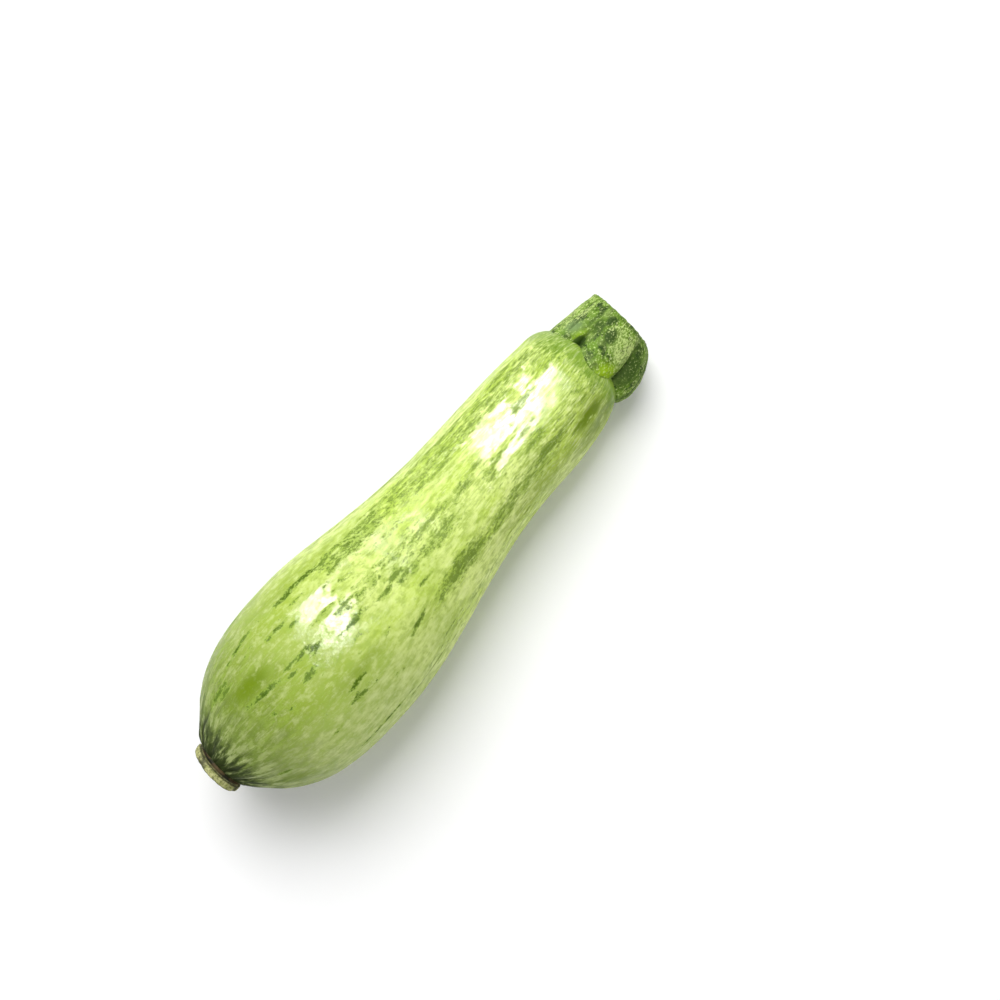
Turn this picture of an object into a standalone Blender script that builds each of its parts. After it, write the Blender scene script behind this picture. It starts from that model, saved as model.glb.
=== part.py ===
"""A pale green, club-shaped zucchini lying on its belly, with its cut stem and its flower scar.

Metres, +Z up. The row's origin is the middle of the bounding box's underside, and +X runs from
the flower end to the stem. Each piece is drawn first about the fruit's own axis, where x is the
distance from the flower end, r the distance from the axis, and the angle is measured from the
top of the fruit towards -Y. An empty then lays that axis down.
"""

import math
from functools import lru_cache

import bmesh
import bpy
import numpy as np
from mathutils import Matrix, Vector

MM = 0.001

# Where the fruit's axis starts, and how far it slopes down towards the slimmer stem end
AXIS_START = Vector((-94.2, 1.9, 33.95)) * MM
AXIS_DROOP = math.radians(5.6)

# The fruit's outline as (x, r): the seat of the flower scar, the belly, the neck, the shoulder
# and the shallow dish that the stem stands in
FRUIT_OUTLINE = (
    (3.1, 0.0),
    (3.1, 6.6),
    (2.8, 8.2),
    (3.4, 10.1),
    (6.1, 13.8),
    (12.0, 19.9),
    (24.0, 26.6),
    (43.0, 29.4),
    (62.0, 28.7),
    (83.0, 25.2),
    (104.0, 21.9),
    (130.0, 20.3),
    (154.0, 19.4),
    (163.5, 18.0),
    (168.8, 16.3),
    (171.5, 12.8),
    (171.1, 8.0),
    (170.5, 0.0),
)

# The flower end is cut obliquely: its top stands forward by this much of its height above the
# axis, less and less as far as the second x
NOSE_LEAN = 0.10
NOSE_LEAN_REACH = (4.0, 26.0)

# The axis bows sideways: (x, y)
FRUIT_BOW = (
    (0.0, 1.3),
    (12.0, 0.2),
    (26.0, -0.8),
    (42.0, -1.7),
    (75.0, -1.8),
    (104.0, -1.0),
    (130.0, -0.1),
    (155.0, 0.1),
    (170.0, 0.9),
    (192.0, 0.4),
)

# Low ribs run the length of the fruit in line with the stem's five folds, with heights as
# (x, height): five broad ones, and ten narrower ones on top of them
RIB_ANGLE = 22.0
FIVE_LOBES = ((0.0, 0.15), (45.0, 0.25), (100.0, 0.40), (150.0, 0.45), (172.0, 0.50))
TEN_RIBS = ((0.0, 0.16), (45.0, 0.10), (100.0, 0.14), (150.0, 0.20), (172.0, 0.28))

# The skin is puckered round the flower scar, between these distances from the flower end
PUCKER_COUNT = 12
PUCKER_HEIGHT = 0.34
PUCKER_RISE = (3.1, 4.2)
PUCKER_FALL = (4.2, 9.5)

# Slow unevenness of growth: (waves round the fruit, length of a wave along it, phase, height)
UNEVENNESS = (
    (2, 118.0, 0.6, 0.26),
    (3, 81.0, 2.2, 0.16),
    (1, 57.0, 4.0, 0.12),
)

# Relief fades out where the scar and the stem are seated
NOSE_FADE = (3.0, 9.0)
SHOULDER_FADE = (160.0, 168.0)

# The ribs are worn away below, where the fruit lay on the ground: they fade between these angles
UNDERSIDE_FADE = (math.radians(138.0), math.radians(158.0))

# The top of the neck sags a little and swells again before the shoulder: (x, height), full within
# the first of these angles from the top and gone at the second
NECK_TOP = (
    (96.0, 0.0),
    (112.0, 0.0),
    (124.0, -0.4),
    (136.0, -1.0),
    (146.0, -1.15),
    (154.0, -0.75),
    (159.0, -0.1),
    (162.5, 0.3),
    (165.5, 0.12),
    (168.0, 0.0),
    (172.0, 0.0),
)
NECK_TOP_REACH = (math.radians(18.0), math.radians(72.0))

# The stem's folds: (angle, radius at the foot, at its fullest, at the cut)
STEM_FOLDS = (
    (-194.0, 15.6, 15.3, 12.6),
    (-122.0, 14.8, 13.3, 11.8),
    (-50.0, 15.0, 13.6, 12.0),
    (22.0, 17.0, 16.4, 13.2),
    (94.0, 16.8, 19.2, 12.5),
)
FOLD_COUNT = len(STEM_FOLDS)

# The crease after each fold: (sharpness, share it takes off the radius at the foot, at the
# fullest, at the cut)
STEM_CREASES = (
    (2.6, 0.22, 0.19, 0.13),
    (2.6, 0.22, 0.19, 0.13),
    (3.0, 0.24, 0.12, 0.03),
    (1.8, 0.20, 0.22, 0.14),
    (2.6, 0.22, 0.19, 0.13),
)

TOE_SPREAD = 2.2
SWELL_ROUNDNESS = 0.7
STEM_CUT = 190.0
STEM_CUT_TILT = math.radians(10.0)
STEM_CUT_HOLLOW = 0.7
STEM_CUT_ROUNDING = 0.5

# The flower scar's outline as (x, r): a short neck, a thick corky disc and its hollowed face. It
# leans forward more than the end of the fruit does: (x, lean)
SCAR_RADIUS = 9.1
SCAR_OUTLINE = (
    (2.68, 0.0),
    (2.68, 4.9),
    (2.4, 5.6),
    (2.05, 6.0),
    (1.9, 7.0),
    (1.85, 8.4),
    (1.5, 9.0),
    (0.7, SCAR_RADIUS),
    (0.0, 9.0),
    (-0.55, 8.3),
    (-0.9, 6.8),
    (-1.0, 4.8),
    (-0.9, 3.0),
    (-0.65, 1.4),
    (-0.55, 0.0),
)
SCAR_LEAN = ((1.8, 0.17), (2.6, NOSE_LEAN))
SCAR_SHIFT = -0.6

# The disc isn't quite round: (waves round its rim, phase, share of the radius)
SCAR_WAVES = ((3, 0.4, 0.02), (7, 1.9, 0.012))

# Clearance between pieces that would otherwise touch
CLEARANCE = 0.42

# How finely each body is drawn, round it and along it; the rings crowd towards the fruit's ends
FRUIT_SIDES = 80
FRUIT_RINGS = 54
RING_CROWDING = 0.8
STEM_SIDES = 60
UNDERSIDE_RINGS = (0.25, 0.5, 0.72, 0.88)
SIDE_RINGS = np.linspace(0.0, 1.0, 13)
CUT_RINGS = (1.0, 0.85, 0.6, 0.3)
SCAR_SIDES = 48
SCAR_RINGS = 20
FINE_OUTLINE = 600
SHARP_EDGE = math.radians(40.0)

# Materials: (name, colour, roughness)
FRUIT_SKIN = ("zucchini_skin", (0.56, 0.72, 0.20, 1.0), 0.25)
STEM_SKIN = ("stem_skin", (0.10, 0.22, 0.05, 1.0), 0.5)
SCAR_CORK = ("scar_cork", (0.42, 0.38, 0.18, 1.0), 0.8)


def clear_scene():
    for obj in list(bpy.data.objects):
        bpy.data.objects.remove(obj, do_unlink=True)


def spline(knots, values, at):
    """The natural cubic spline through values at knots, read at other places."""
    knots, values, at = np.array(knots), np.array(values), np.array(at, float)
    gaps = np.diff(knots)
    slopes = (np.diff(values, axis=0).T / gaps).T
    system = np.eye(len(knots))
    bends = np.zeros_like(values)
    for i in range(1, len(knots) - 1):
        system[i, i - 1 : i + 2] = gaps[i - 1], 2 * (gaps[i - 1] + gaps[i]), gaps[i]
        bends[i] = 6 * (slopes[i] - slopes[i - 1])
    bends = np.linalg.solve(system, bends)
    i = np.clip(np.searchsorted(knots, at) - 1, 0, len(gaps) - 1)
    shape = at.shape + (1,) * (values.ndim - 1)
    gap = gaps[i].reshape(shape)
    ahead = ((knots[i + 1] - at) / gaps[i]).reshape(shape)
    behind = 1 - ahead
    curve = (ahead**3 - ahead) * bends[i] + (behind**3 - behind) * bends[i + 1]
    return ahead * values[i] + behind * values[i + 1] + curve * gap**2 / 6


def smooth_outline(points, count, crowding=0.0):
    """Points along the smooth curve through the given ones, drawn towards its ends by crowding."""
    points = np.array(points)
    steps = np.linalg.norm(np.diff(points, axis=0), axis=1)
    lengths = np.concatenate([[0.0], np.cumsum(steps)])
    share = np.linspace(0.0, 1.0, count)
    share = share - crowding * np.sin(2 * np.pi * share) / (2 * np.pi)
    return spline(lengths, points, share * lengths[-1])


def fade(value, start, end):
    """0 before start, 1 past end and a smooth rise between them."""
    share = np.clip((value - start) / (end - start), 0.0, 1.0)
    return share * share * (3 - 2 * share)


def profile(stations, x):
    return np.interp(x, [place for place, _ in stations], [size for _, size in stations])


def bow(x):
    return float(spline([p[0] for p in FRUIT_BOW], [p[1] for p in FRUIT_BOW], x))


def around_axis(x, r, angle, shift=0.0, lean=0.0):
    """The point at distance r and this angle from the bowed axis, in metres."""
    step = 0.5
    heading = math.atan2(bow(x + step) - bow(x - step), 2 * step)
    side = Vector((math.sin(heading), -math.cos(heading), 0.0))
    up = r * math.cos(angle)
    centre = Vector((x - lean * up, bow(x) + shift, up))
    return (centre + side * (r * math.sin(angle))) * MM


def neck_relief(x, angle):
    knots, heights = zip(*NECK_TOP)
    height = float(spline(knots, heights, min(max(x, knots[0]), knots[-1])))
    full, gone = NECK_TOP_REACH
    return height * fade(math.cos(angle), math.cos(gone), math.cos(full))


def skin_relief(x, angle):
    """How far the skin stands out from the smooth outline there."""
    from_rib = angle - math.radians(RIB_ANGLE)
    ribs = profile(FIVE_LOBES, x) * math.cos(FOLD_COUNT * from_rib)
    ribs += profile(TEN_RIBS, x) * math.cos(2 * FOLD_COUNT * from_rib)
    for waves, length, phase, height in UNEVENNESS:
        ribs += height * math.sin(waves * angle + 2 * math.pi * x / length + phase)
    start, end = UNDERSIDE_FADE
    ribs *= 1 - fade(-math.cos(angle), -math.cos(start), -math.cos(end))
    seated = fade(x, *NOSE_FADE) * (1 - fade(x, *SHOULDER_FADE))
    puckered = fade(x, *PUCKER_RISE) * (1 - fade(x, *PUCKER_FALL))
    return ribs * seated + PUCKER_HEIGHT * math.cos(PUCKER_COUNT * angle) * puckered


@lru_cache
def shoulder_outline():
    outline = smooth_outline(FRUIT_OUTLINE, FINE_OUTLINE)
    return outline[outline[:, 0] > SHOULDER_FADE[0]][::-1]


def stem_seat(r):
    """x of the stem's underside, just clear of the fruit, at this distance from the axis."""
    shoulder = shoulder_outline()
    return float(np.interp(r, shoulder[:, 1], shoulder[:, 0])) + CLEARANCE


def fold_sizes(angle):
    """(radius at the foot, at the fullest, at the cut) of the stem's side at this angle."""
    degrees = math.degrees(angle)
    first = STEM_FOLDS[0][0]
    spacing = 360.0 / FOLD_COUNT
    place = ((degrees - first) % 360.0) / spacing
    before = int(place) % FOLD_COUNT
    share = place - int(place)
    mix = fade(share, 0.0, 1.0)
    ahead = STEM_FOLDS[(before + 1) % FOLD_COUNT]
    sharpness, *depths = STEM_CREASES[before]
    crease = (1 - abs(2 * share - 1)) ** sharpness
    return [
        (a + (b - a) * mix) * (1 - depth * crease)
        for a, b, depth in zip(STEM_FOLDS[before][1:], ahead[1:], depths)
    ]


def cut_height(r, angle):
    """x of the slanting cut across the stem."""
    return STEM_CUT - r * math.cos(angle) * math.tan(STEM_CUT_TILT)


def angles(sides):
    return [2 * math.pi * k / sides for k in range(sides)]


def fruit_point(x, r, angle):
    lean = NOSE_LEAN * (1 - fade(x, *NOSE_LEAN_REACH))
    radius = r + skin_relief(x, angle) + neck_relief(x, angle)
    return around_axis(x, radius, angle, lean=lean)


def fruit_rings():
    first, *between, last = smooth_outline(FRUIT_OUTLINE, FRUIT_RINGS, RING_CROWDING)
    rings = [[around_axis(first[0], 0.0, 0.0)]]
    rings += [[fruit_point(x, r, angle) for angle in angles(FRUIT_SIDES)] for x, r in between]
    rings.append([around_axis(last[0], 0.0, 0.0)])
    return rings


def stem_underside(share, angle):
    foot = fold_sizes(angle)[0] * share
    return around_axis(stem_seat(foot), foot, angle)


def stem_side(share, angle):
    """A point of the stem's side, with share 0 at the foot and 1 at the cut."""
    foot, fullest, cut = fold_sizes(angle)
    start = stem_seat(foot)
    end = cut_height(cut, angle) - STEM_CUT_ROUNDING
    narrowed = cut + (foot - cut) * (1 - share) ** TOE_SPREAD
    halfway = cut + (foot - cut) * 0.5**TOE_SPREAD
    swell = (fullest - halfway) * (4 * share * (1 - share)) ** SWELL_ROUNDNESS
    return around_axis(start + (end - start) * share, narrowed + swell, angle)


def stem_cut_face(share, angle):
    r = (fold_sizes(angle)[2] - STEM_CUT_ROUNDING) * share
    hollow = STEM_CUT_HOLLOW * (1 - share**4)
    return around_axis(cut_height(r, angle) - hollow, r, angle)


def stem_rings():
    turn = angles(STEM_SIDES)
    rings = [[stem_underside(0.0, 0.0)]]
    rings += [[stem_underside(share, angle) for angle in turn] for share in UNDERSIDE_RINGS]
    rings += [[stem_side(share, angle) for angle in turn] for share in SIDE_RINGS]
    rings += [[stem_cut_face(share, angle) for angle in turn] for share in CUT_RINGS]
    rings.append([stem_cut_face(0.0, 0.0)])
    return rings


def scar_point(x, r, angle):
    waved = sum(size * math.sin(waves * angle + phase) for waves, phase, size in SCAR_WAVES)
    radius = r * (1 + waved * (r / SCAR_RADIUS) ** 2)
    return around_axis(x, radius, angle, SCAR_SHIFT, profile(SCAR_LEAN, x))


def scar_rings():
    first, *between, last = smooth_outline(SCAR_OUTLINE, SCAR_RINGS)
    rings = [[scar_point(first[0], 0.0, 0.0)]]
    rings += [[scar_point(x, r, angle) for angle in angles(SCAR_SIDES)] for x, r in between]
    rings.append([scar_point(last[0], 0.0, 0.0)])
    return rings


def material(name, colour, roughness):
    mat = bpy.data.materials.new(name)
    mat.use_nodes = True
    shader = mat.node_tree.nodes["Principled BSDF"]
    shader.inputs["Base Color"].default_value = colour
    shader.inputs["Roughness"].default_value = roughness
    mat.diffuse_color = colour
    return mat


def round_off(mesh):
    mesh.shade_smooth()
    mesh.set_sharp_from_angle(angle=SHARP_EDGE)


def lofted(name, rings, mat, parent):
    """A closed body through the rings, with a single point for its first and last one."""
    bm = bmesh.new()
    rows = [[bm.verts.new(point) for point in ring] for ring in rings]
    sides = len(rows[1])
    for here, there in zip(rows, rows[1:]):
        for k in range(sides):
            following = (k + 1) % sides
            if len(here) == 1:
                bm.faces.new((here[0], there[k], there[following]))
            elif len(there) == 1:
                bm.faces.new((here[k], there[0], here[following]))
            else:
                bm.faces.new((here[k], there[k], there[following], here[following]))
    bmesh.ops.recalc_face_normals(bm, faces=bm.faces)
    mesh = bpy.data.meshes.new(name)
    bm.to_mesh(mesh)
    bm.free()
    round_off(mesh)
    mesh.materials.append(mat)
    obj = bpy.data.objects.new(name, mesh)
    bpy.context.scene.collection.objects.link(obj)
    obj.parent = parent
    return obj


def flatten_underside(obj, placing):
    """Cuts the body off at the surface it lies on, which leaves its small resting flats."""
    to_local = placing.inverted()
    bm = bmesh.new()
    bm.from_mesh(obj.data)
    bmesh.ops.bisect_plane(
        bm,
        geom=bm.verts[:] + bm.edges[:] + bm.faces[:],
        plane_co=to_local @ Vector((0.0, 0.0, 0.0)),
        plane_no=to_local.to_3x3() @ Vector((0.0, 0.0, 1.0)),
        clear_inner=True,
    )
    openings = [edge for edge in bm.edges if edge.is_boundary]
    bmesh.ops.holes_fill(bm, edges=openings, sides=0)
    bmesh.ops.recalc_face_normals(bm, faces=bm.faces)
    bm.to_mesh(obj.data)
    bm.free()
    round_off(obj.data)


def build():
    clear_scene()
    axis = bpy.data.objects.new("fruit_axis", None)
    bpy.context.scene.collection.objects.link(axis)
    axis.location = AXIS_START
    axis.rotation_euler = (0.0, AXIS_DROOP, 0.0)
    placing = Matrix.Translation(AXIS_START) @ Matrix.Rotation(AXIS_DROOP, 4, "Y")
    fruit = lofted("fruit_body", fruit_rings(), material(*FRUIT_SKIN), axis)
    flatten_underside(fruit, placing)
    lofted("stem_stub", stem_rings(), material(*STEM_SKIN), axis)
    lofted("blossom_scar", scar_rings(), material(*SCAR_CORK), axis)


build()
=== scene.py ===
"""The looks of a pale green, club-shaped zucchini that lies on its belly, seen from above.

Metres, +Z up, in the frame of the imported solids. Shapes are drawn in millimetres about the fruit's
own axis, where x is the distance from the flower end, r the distance from the axis, and the angle
is measured from the top of the fruit towards -Y. The three bodies are drawn again, much finer, with
the creases, ridges and pits that the plain solids leave out.
"""

import math
from types import SimpleNamespace

import bpy
import numpy as np
from mathutils import Matrix, Vector


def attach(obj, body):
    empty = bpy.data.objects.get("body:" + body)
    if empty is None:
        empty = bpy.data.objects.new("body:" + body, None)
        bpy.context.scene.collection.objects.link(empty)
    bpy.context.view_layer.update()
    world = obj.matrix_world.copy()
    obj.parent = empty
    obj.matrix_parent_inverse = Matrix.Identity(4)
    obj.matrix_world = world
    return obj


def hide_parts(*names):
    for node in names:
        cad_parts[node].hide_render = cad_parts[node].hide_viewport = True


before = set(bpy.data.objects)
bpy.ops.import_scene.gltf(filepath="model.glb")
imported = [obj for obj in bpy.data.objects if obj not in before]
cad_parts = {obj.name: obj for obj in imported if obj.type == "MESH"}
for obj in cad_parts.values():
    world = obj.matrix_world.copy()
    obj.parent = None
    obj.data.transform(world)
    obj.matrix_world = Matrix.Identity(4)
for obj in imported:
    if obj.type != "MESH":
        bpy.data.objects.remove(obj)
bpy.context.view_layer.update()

MM = 0.001

# Where the fruit's axis starts, and how far it slopes down towards the slimmer stem end
AXIS_START = np.array([-94.2, 1.9, 33.95])
AXIS_DROOP = math.radians(5.6)

# The fruit's outline as (x, r), from the seat of the flower scar to the dish under the stem
FRUIT_OUTLINE = (
    (3.1, 0.0), (3.1, 6.6), (2.8, 8.2), (3.4, 10.1),
    (6.1, 13.8), (12.0, 19.9), (24.0, 26.6), (43.0, 29.4),
    (62.0, 28.7), (83.0, 25.2), (104.0, 21.9), (130.0, 20.3),
    (154.0, 19.4), (163.5, 18.0), (168.8, 16.3), (171.5, 12.8),
    (171.1, 8.0), (170.5, 0.0),
)

# The flower end is cut obliquely: its top stands forward by this much of its height above the
# axis, less and less as far as the second x
NOSE_LEAN = 0.10
NOSE_LEAN_REACH = (4.0, 26.0)

# The axis bows sideways: (x, y), and its heading is read over this step before and behind
FRUIT_BOW = (
    (0.0, 1.3), (12.0, 0.2), (26.0, -0.8), (42.0, -1.7),
    (75.0, -1.8), (104.0, -1.0), (130.0, -0.1), (155.0, 0.1),
    (170.0, 0.9), (192.0, 0.4),
)
HEADING_STEP = 0.5

# Low ribs run the length of the fruit in line with the stem's five folds: (x, height)
RIB_ANGLE = 22.0
FIVE_LOBES = ((0.0, 0.15), (45.0, 0.25), (100.0, 0.40), (150.0, 0.45), (172.0, 0.50))
TEN_RIBS = ((0.0, 0.16), (45.0, 0.10), (100.0, 0.14), (150.0, 0.20), (172.0, 0.28))

# The skin is puckered round the flower scar
PUCKER_COUNT = 12
PUCKER_HEIGHT = 0.34
PUCKER_RISE = (3.1, 4.2)
PUCKER_FALL = (4.2, 9.5)

# Creases run out from the flower scar: a broad one between each two puckers, and twice as many
# narrow ones that stay nearer to it. All of them wander to the sides
CREASE_DEPTH = 0.9
CREASE_RISE = (2.7, 3.6)
CREASE_FALL_START = 5.0
CREASE_END = 18.0
CREASE_END_VARIES = 4.0
CREASE_WANDER = 0.14
NARROW_CREASE_SHARE = 0.5
NARROW_CREASE_FALL = (4.0, 11.0)
NARROW_CREASE_STRAY = 1.7
NARROW_CREASE_PHASE = 1.0

# Finer relief, all pressed in: wrinkles near the scar, and growth lumps and grain past it
WRINKLE_DEPTH = 0.3
WRINKLE_RISE = (3.0, 4.0)
WRINKLE_FALL = (6.0, 16.0)
LUMP_DEPTH = 0.20
GRAIN_DEPTH = 0.07
GRAIN_RISE = (4.0, 9.0)

# Slow unevenness of growth: (waves round the fruit, length of a wave along it, phase, height)
UNEVENNESS = (
    (2, 118.0, 0.6, 0.26),
    (3, 81.0, 2.2, 0.16),
    (1, 57.0, 4.0, 0.12),
)
NOSE_FADE = (3.0, 9.0)
SHOULDER_FADE = (160.0, 168.0)

# The ribs are worn away below, where the fruit lay on the ground: they fade between these angles
UNDERSIDE_FADE = (math.radians(138.0), math.radians(158.0))

# The top of the neck sags a little and swells again before the shoulder: (x, height), full within
# the first of these angles from the top and gone at the second
NECK_TOP = (
    (96.0, 0.0), (112.0, 0.0), (124.0, -0.4), (136.0, -1.0),
    (146.0, -1.15), (154.0, -0.75), (159.0, -0.1), (162.5, 0.3),
    (165.5, 0.12), (168.0, 0.0), (172.0, 0.0),
)
NECK_TOP_REACH = (math.radians(18.0), math.radians(72.0))

# The stem's folds: (angle, radius at the foot, at its fullest, at the cut)
STEM_FOLDS = (
    (-194.0, 15.6, 15.3, 12.6),
    (-122.0, 14.8, 13.3, 11.8),
    (-50.0, 15.0, 13.6, 12.0),
    (22.0, 17.0, 16.4, 13.2),
    (94.0, 16.8, 19.2, 12.5),
)
FOLD_COUNT = len(STEM_FOLDS)

# The crease after each fold: (sharpness, share it takes off the radius at the foot, at the
# fullest, at the cut)
STEM_CREASES = (
    (2.6, 0.22, 0.19, 0.13),
    (2.6, 0.22, 0.19, 0.13),
    (3.0, 0.24, 0.12, 0.03),
    (1.8, 0.20, 0.22, 0.14),
    (2.6, 0.22, 0.19, 0.13),
)

# The folds spread into toes towards the foot and swell below the cut, which slants, is hollow and
# has a rounded rim. The stem starts this far below the fruit's surface
TOE_SPREAD = 2.2
SWELL_ROUNDNESS = 0.7
STEM_CUT = 190.0
STEM_CUT_TILT = math.radians(10.0)
STEM_CUT_HOLLOW = 0.7
STEM_CUT_ROUNDING = 0.5
STEM_SINK = 0.35

# The stem's skin has long ridges, sunk so that they stay inside its outline, bumps and pimples.
# A crease is full where it takes this share off the radius. The relief fades in and out at these
# shares of the way up the side
RIDGE_HEIGHT = 0.16
RIDGE_SINK = 1.2
STEM_BUMP_HEIGHT = 0.10
PIMPLE_HEIGHT = 0.05
STEM_CREASE_DEPTH = 0.8
FULL_CREASE = 0.2
STEM_RELIEF_RISE = (0.0, 0.05)
STEM_RELIEF_FALL = (0.97, 1.0)

# The pith of the cut is pitted this deep, from these shares of the way up the side on
PITH_DEPTH = 0.12
PITH_RISE = (0.96, 1.01)

# The flower scar's outline as (x, r), with its neck set a little way into the fruit. It leans
# forward more than the end of the fruit: (x, lean)
SCAR_RADIUS = 9.1
SCAR_OUTLINE = (
    (3.5, 0.0), (3.5, 4.9), (3.1, 5.4), (2.6, 5.7),
    (2.05, 6.0), (1.9, 7.0), (1.85, 8.4), (1.5, 9.0),
    (0.7, SCAR_RADIUS), (0.0, 9.0), (-0.55, 8.3), (-0.9, 6.8),
    (-1.0, 4.8), (-0.9, 3.0), (-0.65, 1.4), (-0.55, 0.0),
)
SCAR_LEAN = ((1.8, 0.17), (2.6, NOSE_LEAN))
SCAR_SHIFT = -0.6

# The disc's edge is wavy, as (waves round it, phase, height as a share of r), and ragged
SCAR_WAVES = ((3, 0.4, 0.02), (7, 1.9, 0.012))
RAGGED_DEPTH = 0.14
RAGGED_RISE = (6.0, 8.4)

# The disc's face is the part that stands this far forward. It is sunk between low spokes: their
# pattern is rolled up at this radius, and drawn out by counting only this share of r
SCAR_FACE = (0.2, 1.0)
FACE_SINK = 0.18
SPOKE_DEPTH = 0.16
SPOKE_ROLL = 12.0
SPOKE_RUN = 0.25

# How finely each piece is drawn, round it and along it, and the shoulder's outline is read
FRUIT_SIDES = 320
FRUIT_RINGS = 298
RING_CROWDING = 0.6
STEM_SIDES = 300
STEM_FOOT_RINGS = 8
STEM_SIDE_RINGS = 120
STEM_CUT_RINGS = 46
SCAR_SIDES = 220
SCAR_RINGS = 120
SHOULDER_POINTS = 600

# Radii that the skins are unrolled at for their patterns
FRUIT_ROLL = 24.0
STEM_ROLL = 14.0
SCAR_ROLL = 7.0

# Seeded bumps: (size, how much of the way along the piece counts, seed). The less of it counts,
# the more they are drawn out. Each pattern is a sum of waves of about that size
CREASE_WANDER_BUMPS = (8.0, 0.6, 3)
CREASE_END_BUMPS = (9.0, 1.0, 4)
LUMP_BUMPS = (9.0, 0.4, 5)
GRAIN_BUMPS = (2.6, 0.35, 6)
WRINKLE_BUMPS = (3.2, 0.25, 7)
MARK_DRIFT_BUMPS = (16.0, 0.5, 8)
RIDGE_BUMPS = (2.6, 0.12, 21)
STEM_BUMPS = (2.4, 0.5, 22)
PITH_BUMPS = (1.3, 1.0, 23)
PIMPLE_BUMPS = (1.1, 1.0, 24)
RAGGED_BUMPS = (1.6, 0.3, 31)
SPOKE_BUMPS = (3.0, 1.0, 32)
BUMP_WAVES = 28
BUMP_SPREAD = (0.7, 1.5)

# How steeply the borders of marks and bands fall off, how far a band fades about its first and
# last x, how far the marks drift to the sides, in radians, and the x where the shoulder is greener
MARK_STEEPNESS = 3
BAND_STEEPNESS = 4
BAND_BEGINS = (-3.0, 5.0)
BAND_ENDS = (-8.0, 4.0)
MARK_DRIFT = 0.03
SHOULDER_TINT = (157.0, 168.5)

# Single marks on the skin: (x, angle, half length, half width, strength) and, where it has one, the
# lean: how far the mark drifts round the fruit for each millimetre along it
FLECKS = (
    (18.5, -37, 4.6, 1.2, 1, 0.05),
    (20, -31.5, 3.6, 1, 0.95, 0.05),
    (33, -44.5, 10, 0.8, 0.9, -0.1),
    (43, -31, 5, 0.9, 0.85),
    (49, -26, 2.8, 0.8, 0.6),
    (52, -44.5, 5.5, 1, 0.9),
    (27.8, -10.5, 7.2, 0.9, 1),
    (37.5, -7, 2.7, 0.9, 1),
    (43.5, -11, 8, 1, 0.85, 0.05),
    (47.5, -7, 3.2, 1.6, 0.8),
    (42, 1, 3.4, 1.7, 0.9),
    (61.5, -0.5, 5.4, 1.4, 0.85),
    (63, -9, 3.4, 1.4, 0.7),
    (73.5, 3, 4, 1.2, 0.7),
    (79.5, 0.5, 3.6, 1.3, 0.85),
    (83, 6, 6, 1.5, 0.8, 0.03),
    (97, 5.5, 10, 2.6, 0.78, 0.03),
    (98, -8, 10, 1.4, 0.7),
    (113, -4, 4.6, 2.2, 0.75),
    (122, 6, 4, 2.4, 0.55),
    (120, -9, 6, 1, 0.55),
    (126, 1, 6, 1, 0.6),
    (138.5, 3, 7, 0.8, 0.7),
    (145, -17, 6, 1.8, 0.75),
    (139.5, 17, 7, 1.8, 0.75),
    (150, 30, 5, 0.9, 0.6),
    (141, 33, 9, 1.8, 0.9),
    (153, 44, 6, 1, 0.8),
    (49, 25.5, 4.4, 0.9, 0.95, -0.05),
    (46.5, 32, 4.4, 1.4, 0.85, 0.08),
    (54, 34, 2.6, 0.9, 0.6),
    (73.5, 32, 5.4, 0.9, 0.95, -0.22),
    (84, 37, 3, 0.8, 0.9, -0.25),
    (96, 35, 14, 3.6, 0.92, 0.02),
    (118, 36, 10, 2.4, 0.78),
    (45, 66, 15, 0.6, 0.9),
    (65, 72, 12, 0.6, 0.9),
    (80, 61, 7, 0.6, 0.7),
    (78, 76, 6, 0.6, 0.6),
    (36, 25, 1.4, 0.8, 0.7),
    (26, 3, 1.4, 0.9, 0.6),
    (17, 44, 2.6, 0.9, 0.7, 0.1),
    (118, 62, 8, 0.6, 0.6),
    (58, -45.5, 11, 1.5, 0.84),
    (60.5, -12, 1, 0.9, 0.9),
    (57.5, -17.5, 6.5, 0.8, 0.6),
    (63, -12.5, 5, 1, 0.8),
    (70, -9, 3, 1, 0.7),
    (31, 8, 2.2, 0.7, 0.5, 0.1),
    (58, 8, 3, 0.7, 0.45),
    (68, 19, 4, 0.8, 0.5, -0.1),
    (36, 38, 3, 0.7, 0.5),
    (60, 44, 4, 0.8, 0.5),
    (86, 18, 5, 0.8, 0.5),
    (33, -36, 3, 0.7, 0.55),
    (54, -36, 3.6, 0.9, 0.7),
    (64, -29, 3, 0.9, 0.6),
)

# Bands of marks: (first x, last x, angle at the first, at the last, half width, strength)
BANDS = (
    (46, 98, -44, -47, 1.3, 0.68),
    (64, 96, -37, -40, 3.4, 0.62),
    (84, 158, -50, -54, 1.6, 0.56),
    (90, 164, -41, -44, 2.4, 0.56),
    (96, 150, -33, -35, 1.1, 0.58),
    (104, 146, 37, 37, 3, 0.58),
    (66, 112, -4, -6, 4.2, 0.3),
    (118, 168, 21, 22, 3.4, 0.24),
    (62, 100, -10, -9, 3, 0.42),
    (60, 100, -24, -25, 1.6, 0.34),
    (60, 130, 66, 68, 2, 0.34),
    (154, 172, -30, -30, 6, 0.45),
    (154, 172, 20, 20, 6, 0.34),
)

# Patches of deeper green, some of them painted shade: (x, angle, half length, half width, strength)
LUSH_AND_SHADE_PATCHES = (
    (27, -20, 8, 3.2, 1.15),
    (33, -16, 6, 2.2, 0.5),
    # Painted shade on the lower side by the shoulder
    (157, 47, 7, 3.2, 1.35),
    (54, 22, 9, 2, 0.45),
    (16, 58, 7, 3, 0.6),
    (134, 55, 26, 3.4, 0.5),
    # Painted shade on the lower side by the shoulder
    (160, 68, 14, 6, 1),
    (60, -52, 24, 3, 0.35),
)

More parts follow.
